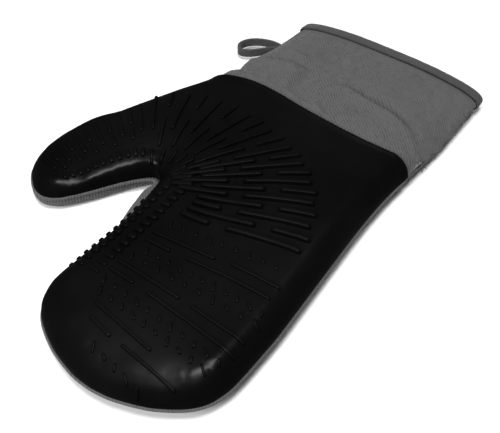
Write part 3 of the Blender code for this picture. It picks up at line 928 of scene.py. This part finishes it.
def soften_cuff(points, tris):
    """A short cloth simulation of the cuff, held at the wrist and the mouth and blown up a
    little, so that its fabric settles into soft slack folds."""
    mesh = bpy.data.meshes.new("cuff_cloth")
    mesh.from_pydata((points * MM).tolist(), [], tris.tolist())
    obj = add_object("cuff_cloth", mesh)
    held = obj.vertex_groups.new(name="held")
    x, y = points[:, 0], points[:, 1]
    grip = 1 - ease(y - rim_y(x), 1, 7) * ease(y, MOUTH_Y - 9, MOUTH_Y - 15)
    for i, weight in enumerate(grip.tolist()):
        held.add([i], weight, "REPLACE")
    cloth = obj.modifiers.new("cloth", "CLOTH")
    for key, value in CLOTH.items():
        setattr(cloth.settings, key, value)
    cloth.settings.effector_weights.gravity = 0
    cloth.collision_settings.use_collision = False
    cloth.point_cache.frame_start = 1
    cloth.point_cache.frame_end = CLOTH_FRAMES
    for step in range(1, CLOTH_FRAMES + 1):
        scene.frame_set(step)
    graph = bpy.context.evaluated_depsgraph_get()
    settled = np.array([v.co for v in obj.evaluated_get(graph).data.vertices]) / MM
    bpy.data.objects.remove(obj, do_unlink=True)
    bpy.data.meshes.remove(mesh)
    scene.frame_set(1)
    move = settled - points
    size = norm(move, axis=1)
    move *= (np.minimum(size, CLOTH_REACH) / np.maximum(size, 1e-9))[:, None]
    moved = points + move * (1 - grip)[:, None]
    moved[:, 2] = np.maximum(moved[:, 2], 0.3)
    return moved


def add_cuff(plan, twill, lining):
    """The cuff's fabric as one flattened tube, and its lining as a sheet on each side."""
    count = len(plan.xy)
    top = np.column_stack([plan.xy, cuff_top(plan)])
    bottom = np.column_stack([plan.xy, cuff_bottom(plan)])
    on_seam = plan.inset < 0.01
    top[on_seam, 2] = SEAM_Z
    below = np.where(on_seam, np.arange(count), np.arange(count) + count)
    tris = np.vstack([plan.tris, below[plan.tris[:, ::-1]]])
    points, tris, used = compact(np.vstack([top, bottom]), tris)
    points = soften_cuff(points, tris)
    cuff = add_shell("cuff_fabric", points, vertex_normals(points, tris), tris, FABRIC,
                     twill, "twill")
    bend(cuff)
    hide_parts("cuff_palm_panel", "cuff_back_panel")
    settled = np.interp(np.arange(count), used[used < count], points[used < count, 2])
    upper = np.minimum(palm_height(plan.xy, plan.inset) - 2.6, settled - 2.8)
    lower = back_height(plan.xy, plan.inset) + 2.2
    lined = (upper - lower)[plan.tris].min(axis=1) > 1.6
    lined &= plan.xy[plan.tris][:, :, 1].max(axis=1) < MOUTH_Y - 0.5
    for side, z, tris in (("palm", upper, plan.tris), ("back", lower, plan.tris[:, ::-1])):
        points = np.column_stack([plan.xy, z])
        sheet = add_shell("cuff_" + side + "_lining_sheet", points,
                          vertex_normals(points, tris), tris[lined], LINING, lining, "lining")
        bend(sheet)
        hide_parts("cuff_" + side + "_lining")


def seam_sides(seam, y):
    """Where the seam's thumb side and its little-finger side are at y."""
    half = len(seam) // 2
    return (np.interp(y, seam[:half, 1][::-1], seam[:half, 0][::-1]),
            np.interp(y, seam[half:, 1], seam[half:, 0]))


def mouth_section(seam, y, side, depth):
    """Points round the mitt's section at y, side inside its seams and depth under its surface."""
    left, right = seam_sides(seam, y)
    angles = np.arange(STATIONS) * 2 * math.pi / STATIONS
    x = (left + right) / 2 + ((right - left) / 2 - side) * np.cos(angles)
    inset = np.minimum(x - left, right - x)
    here = np.column_stack([x, np.full(STATIONS, y)])
    z = np.where(np.sin(angles) > 0, palm_height(here, inset) - 0.5 - depth,
                 back_height(here, inset) + depth)
    return np.column_stack([x, np.where(inset < 1e-6, SEAM_Z, z)])


def grown(section, offset):
    """A section moved out of its surface by offset."""
    run = np.roll(section, -1, axis=0) - np.roll(section, 1, axis=0)
    return section - left_normals(run) * offset


def binding_lift(section, below):
    """How far the binding's lower edge stands off the fabric: most at the palm's middle."""
    x, z = section.T
    lift = np.where(z > SEAM_Z + 2, 0.1 + 0.6 * ease(x, -25, 35), 0.05)
    return lift * (1 + 0.6 * waves(section, 9, 7.7)) * ease(below, 5, 8.4)


def add_binding(seam, tape):
    """The tape folded over the mouth's raw edge, rippled between its stitches."""
    rings = []
    for dy, out, share in BINDING_PROFILE:
        y = MOUTH_Y + dy
        section = mouth_section(seam, min(y, MOUTH_Y + 0.4), 0, 0)
        ripple = 0.18 * waves(section, 5, 1.3)
        outer = grown(section, (out + (ripple + binding_lift(section, -dy)) * (1 - share))[:, None])
        inner = mouth_section(seam, min(y, MOUTH_Y + 0.4), 11.5, 3.6)
        x, z = (outer * (1 - share) + inner * share).T
        rings.append(np.column_stack([x, np.full(STATIONS, y), z]))
    binding = add_piece("mouth_binding", np.vstack(rings), ring_faces(len(rings), STATIONS),
                        tape, "binding_tape")
    solid = binding.modifiers.new("thickness", "SOLIDIFY")
    solid.thickness = TAPE * MM
    solid.offset = 1.0
    bpy.context.view_layer.objects.active = binding
    bpy.ops.object.modifier_apply(modifier=solid.name)
    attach(binding, "cuff")
    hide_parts("cuff_binding")


def add_binding_stitches(seam, thread):
    """The line of stitches that holds the binding, each sunk a little into the tape."""
    section = mouth_section(seam, MOUTH_Y - STITCHES_BELOW, 0, 0)
    path = grown(section, (2.15 + binding_lift(section, STITCHES_BELOW))[:, None])
    line = resample(np.vstack([path, path[:1]]), 1.0)
    stitches = []
    for start in range(0, len(line) - 3, 4):
        xz = line[start:start + 4]
        outward = xz - section.mean(axis=0)
        outward /= norm(outward, axis=1)[:, None]
        outward[:, 0] *= 0.3
        x, z = (xz + outward * np.array([-0.5, 0.0, 0.0, -0.5])[:, None]).T
        points = np.column_stack([x, np.full(4, MOUTH_Y - STITCHES_BELOW), z])
        normals = np.tile([0.0, 1.0, 0.0], (4, 1))
        scale = np.array([[0.5, 0.5], [1, 1], [1, 1], [0.5, 0.5]])
        stitches.append(sweep(points, normals, circle(0.36, 8), scale))
    piece = add_piece("binding_stitches", *merged(stitches), thread, "thread")
    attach(piece, "cuff")
    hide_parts("binding_stitch")


def add_hanging_loop(tape):
    """The tape loop on its edge, with two folded edges, sewn into the side seam."""
    line = smooth_line(LOOP_POINTS, 1.0)
    height = 6.2 + 0.4 * np.sin(np.linspace(0, math.pi, len(line)))
    profile = [(x * (1.35 if abs(y) > 2.4 else 1.0), y) for x, y in rounded_bar(0.8, 3.5, 0.4)]
    loop = add_piece("tape_loop", *sweep_level(np.column_stack([line, height]), profile),
                     tape, "twill")
    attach(loop, "loop")
    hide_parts("hanging_loop")


def add_seam_roll(seam, twill):
    """The rolled fabric edge that shows under the silicone, and stands out and widens to a
    strip by the crotch."""
    x, y = seam.T
    strip = STRIP * ease(y, -28, -46) * ease(y, -95, -60) * ease(x, -70, -64) * (x < 0)
    from_crotch = norm(seam - CROTCH, axis=1)
    outward = 2.2 * np.exp(-(from_crotch / 26) ** 2) + strip / 2
    line = seam - left_normals(np.gradient(seam, axis=0)) * outward[:, None]
    is_thumb = (on_thumb(line) > 0) & (line[:, 0] < CROTCH[0] + 1)
    first = int(np.argmax(is_thumb))
    last = len(line) - 1 - int(np.argmax(is_thumb[::-1]))
    below = line[:, 1] < rim_y(line[:, 0]) - 1
    start = int(np.argmax(below))
    end = len(line) - 1 - int(np.argmax(below[::-1]))
    for name, body, part, nodes in (
            ("outer", None, slice(start, first + 1), ("palm_thumb_side",)),
            ("thumb", "thumb", slice(first, last + 1), ("thumb",)),
            ("main", "fingers", slice(last, end), ("crotch", "fingers", "palm_little_side"))):
        z = SEAM_Z - 0.1 - 0.1 * strip[part] + 0.15 * waves(line[part], 6, 9.1)
        scale = np.stack([1 + strip[part] / (2 * ROLL), 1 + 0.08 * strip[part]], axis=1)
        swept = sweep_level(np.column_stack([line[part], z]), circle(ROLL, 10), scale)
        roll = add_piece("seam_roll_" + name, *swept, twill, "twill")
        if body is None:
            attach(roll, "palm")
        else:
            bend(roll)
        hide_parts(*("seam_thread_" + node for node in nodes))


def add_cuff_seams(seam, thread):
    """The thread that shows along the cuff's side seams."""
    half = len(seam) // 2
    for side, run in (("thumb", seam[:half]), ("little", seam[half:])):
        run = run[(run[:, 1] > rim_y(run[:, 0]) - 1) & (run[:, 1] < MOUTH_Y - 9)]
        path = np.column_stack([run, np.full(len(run), SEAM_Z)])
        path[:, 0] += 0.15 * np.sign(path[:, 0])
        piece = add_piece("cuff_seam_" + side, *sweep_level(path, circle(0.5, 8)),
                          thread, "thread")
        bend(piece)
        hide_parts("seam_thread_cuff_" + side + "_side")


def add_loose_threads(seam, thread):
    """A few frayed ends along the cuff's little-finger side."""
    draw = random.Random(11)
    parts = []
    for y in (92, 96, 101, 118, 121, 138, 152, 171):
        _, x = seam_sides(seam, y)
        heading = draw.uniform(-0.9, 0.9)
        point = np.array([x - 0.3, y, SEAM_Z - draw.uniform(0.5, 2.5)])
        path = [point]
        for _ in range(draw.randint(4, 7)):
            heading += draw.uniform(-0.5, 0.5)
            point = point + 0.7 * np.array([math.cos(heading), math.sin(heading),
                                            draw.uniform(-0.5, 0.2)])
            path.append(point)
        parts.append(sweep_level(path, circle(0.16, 5)))
    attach(add_piece("loose_threads", *merged(parts), thread, "thread"), "cuff")


# ---- setting: lengths in metres ----

def add_floor():
    mesh = bpy.data.meshes.new("floor")
    mesh.from_pydata([(-4, -4, 0), (4, -4, 0), (4, 4, 0), (-4, 4, 0)], [], [(0, 1, 2, 3)])
    floor = add_object("floor", mesh)
    floor.location.z = -0.0003
    material, tree, inputs, place = new_material("pale_floor", 0.9, specular=0.1)
    feed(tree, inputs["Base Color"], ramp(tree, speckle(tree, place, 3.0), 0.86, 0.9))
    mesh.materials.append(material)
    floor.visible_glossy = False


def add_area_light(name, location, size, energy, mirrored=True):
    """A soft box that faces the mitt; unless mirrored it lights things without its image
    showing in them."""
    light = bpy.data.lights.new(name, "AREA")
    light.shape = "SQUARE"
    light.size = size
    light.energy = energy
    obj = add_object(name, light)
    obj.location = location
    obj.rotation_euler = (-Vector(location)).to_track_quat("-Z", "Y").to_euler()
    obj.visible_glossy = mirrored


def add_room():
    """A dim room that looks white to the camera."""
    world = bpy.data.worlds.new("room")
    world.use_nodes = True
    tree = world.node_tree
    inputs = tree.nodes["Background"].inputs
    inputs["Color"].default_value = (1, 1, 1, 1)
    seen = put(tree, "ShaderNodeLightPath").outputs["Is Camera Ray"]
    feed(tree, inputs["Strength"], spread(tree, seen, 0.06, 1.0))
    scene.world = world
    scene.view_settings.view_transform = "Standard"


def add_camera():
    """The photograph's viewpoint: above the little-finger side, looking down the fingers."""
    data = bpy.data.cameras.new("camera")
    data.lens = 54
    data.sensor_width = 36
    camera = add_object("camera", data)
    away = Vector((CAMERA_DISTANCE, 0, 0))
    away.rotate(Euler((0, -CAMERA_ELEVATION, CAMERA_AZIMUTH)))
    camera.location = CAMERA_TARGET + away
    camera.rotation_euler = away.to_track_quat("Z", "Y").to_euler()
    scene.camera = camera


def body_plan(seam):
    """The plan of everything below the silicone's rim."""
    _, lower, _ = cut_line(seam, rim_y)
    rim = (lower[-1], lower[0])
    border = np.vstack([lower, across(*rim, rim_y)])
    return Plan(border, seam, BODY_GRID, (CROTCH, THUMB_ROOT), rim)


def cuff_plan(seam):
    """The plan of the cuff, from under the rim to the mouth."""
    def start_y(x):
        return rim_y(x) - TUCK

    def mouth(x):
        return np.full(np.shape(x), MOUTH_Y)

    _, lower, _ = cut_line(seam, mouth)
    left, _, right = cut_line(lower, start_y)
    border = np.vstack([left, across(left[-1], right[0], start_y), right,
                        across(right[-1], left[0], mouth)])
    return Plan(border, seam, CUFF_GRID)


def main():
    seam = smooth_line(SEAM_POINTS, SEAM_STEP)
    twill = woven_material("grey_twill", 0.040, 0.083, 2.1, -49, 0.8)
    tape = woven_material("grey_tape", 0.027, 0.052, 1.3, 45, 0.6)
    lining = woven_material("plain_lining", 0.12, 0.2, 1.0, 0, 0.4)
    thread = thread_material()
    body = body_plan(seam)
    silicone_points = add_silicone(body)
    add_ribs(body, silicone_points)
    add_back(body, twill)
    add_pouch_lining(body, silicone_points, lining)
    add_cuff(cuff_plan(seam), twill, lining)
    add_binding(seam, tape)
    add_binding_stitches(seam, thread)
    add_hanging_loop(tape)
    add_seam_roll(seam, twill)
    add_cuff_seams(seam, thread)
    add_loose_threads(seam, thread)
    add_floor()
    add_area_light("key", (0.16, -0.22, 1.9), 0.7, 36)
    add_area_light("beyond_the_tips", (-0.2, -1.35, 1.0), 0.8, 23, mirrored=False)
    add_area_light("beyond_the_cuff", (0.3, 1.35, 1.0), 0.8, 6, mirrored=False)
    add_room()
    add_camera()


main()
